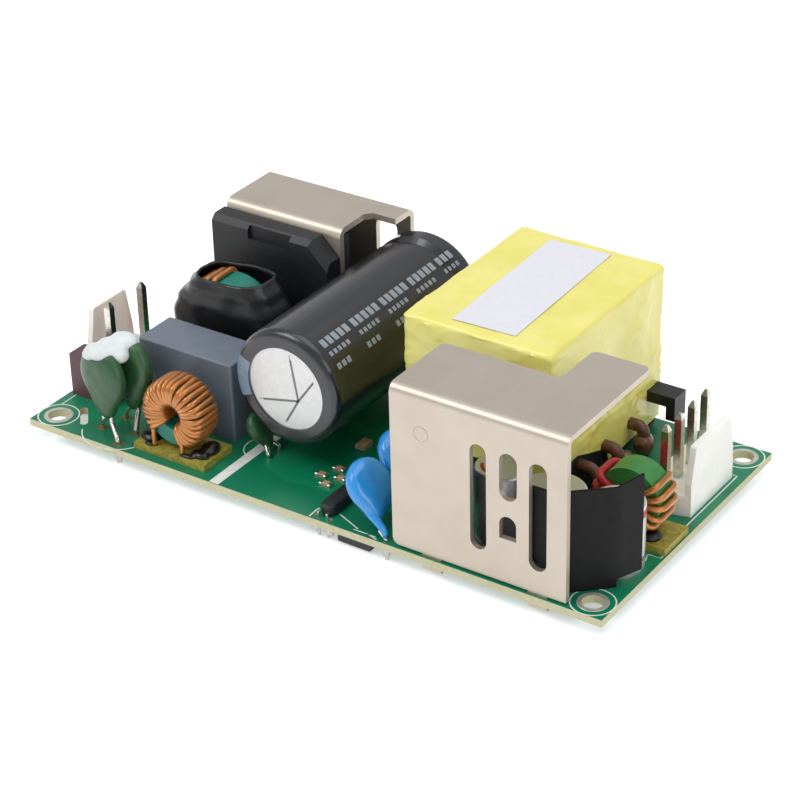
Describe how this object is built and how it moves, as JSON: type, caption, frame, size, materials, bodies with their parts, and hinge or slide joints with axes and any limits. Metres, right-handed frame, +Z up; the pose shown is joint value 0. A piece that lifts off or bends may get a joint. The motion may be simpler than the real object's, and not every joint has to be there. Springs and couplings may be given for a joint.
{
  "type": "open-frame switching power supply",
  "caption": "Open-frame mains power supply on a bare circuit board with transformer, bulk capacitor, folded heatsinks and pin headers.",
  "frame": {"origin": "centre of the four mounting holes, on the board's underside", "axes": "+X along the board from the mains header to the output header, +Y to the long edge away from the slotted heatsink, +Z up from the board's underside"},
  "size_m": [0.1016, 0.0508, 0.0303],
  "materials": {
    "board_laminate": "green solder mask",
    "white_nylon": "moulded",
    "tinned_metal": "tinned",
    "maroon_plastic": "moulded",
    "green_coating": "dipped coating",
    "white_silicone": "satin",
    "grey_plastic": "moulded",
    "teal_core": "coated core",
    "green_core": "coated core",
    "copper_wire": "enamelled copper wire",
    "red_wire": "insulated wire",
    "fibre_board": "fibre laminate",
    "black_sleeve": "heat-shrink sleeve",
    "black_epoxy": "moulded epoxy",
    "nickel_sheet": "nickel plated, satin",
    "can_aluminium": "bare can",
    "dark_film_sleeve": "shrink film",
    "black_rubber": "matte",
    "ferrite": "matte grey",
    "yellow_tape": "polyester tape",
    "label_film": "paper label",
    "brown_sleeve": "insulated wire",
    "zinc_steel": "zinc plated",
    "blue_coating": "dipped coating",
    "black_sheet": "insulation sheet",
    "solder": "solder",
    "ceramic": "chip parts"
  },
  "bodies": {
    "root": {"circuit_board": "board_laminate", "mains_connector_housing": "white_nylon", "mains_connector_pins": "tinned_metal", "output_connector_housing": "white_nylon", "output_connector_pins": "tinned_metal", "fuse": "maroon_plastic", "fuse_leads": "tinned_metal", "inrush_limiter_1": "green_coating", "inrush_limiter_2": "green_coating", "inrush_limiter_leads": "tinned_metal", "silicone_bridge": "white_silicone", "film_capacitor": "grey_plastic", "film_capacitor_leads": "tinned_metal", "input_choke_core": "teal_core", "input_choke_winding": "copper_wire", "input_choke_plate": "fibre_board", "mode_choke_core": "teal_core", "mode_choke_windings": "copper_wire", "mode_choke_sleeve": "black_sleeve", "bridge_rectifier": "black_epoxy", "bridge_rectifier_leads": "tinned_metal", "rear_heatsink": "nickel_sheet", "power_transistor_1": "black_epoxy", "power_transistor_2": "black_epoxy", "power_transistor_leads": "tinned_metal", "bulk_capacitor_can": "can_aluminium", "bulk_capacitor_sleeve": "dark_film_sleeve", "bulk_capacitor_seal": "black_rubber", "bulk_capacitor_leads": "tinned_metal", "transformer_core": "ferrite", "transformer_bobbin": "black_epoxy", "transformer_winding": "copper_wire", "transformer_wrap": "yellow_tape", "transformer_label": "label_film", "transformer_pins": "tinned_metal", "secondary_wires": "brown_sleeve", "front_heatsink": "nickel_sheet", "output_rectifier": "black_epoxy", "output_rectifier_leads": "tinned_metal", "package_studs": "zinc_steel", "package_nuts": "zinc_steel", "blue_capacitor_1": "blue_coating", "blue_capacitor_2": "blue_coating", "blue_capacitor_leads": "tinned_metal", "optocoupler": "black_epoxy", "optocoupler_legs": "tinned_metal", "output_capacitor_1": "can_aluminium", "output_capacitor_2": "can_aluminium", "output_capacitor_3": "can_aluminium", "output_capacitor_leads": "tinned_metal", "insulation_barrier": "black_sheet", "output_choke_core": "green_core", "output_choke_red_winding": "red_wire", "output_choke_copper_winding": "copper_wire", "output_choke_plate": "fibre_board", "underside_diode": "black_epoxy", "underside_controller": "black_epoxy", "underside_chips": "ceramic", "solder_joints": "solder"}
  },
  "joints": []
}
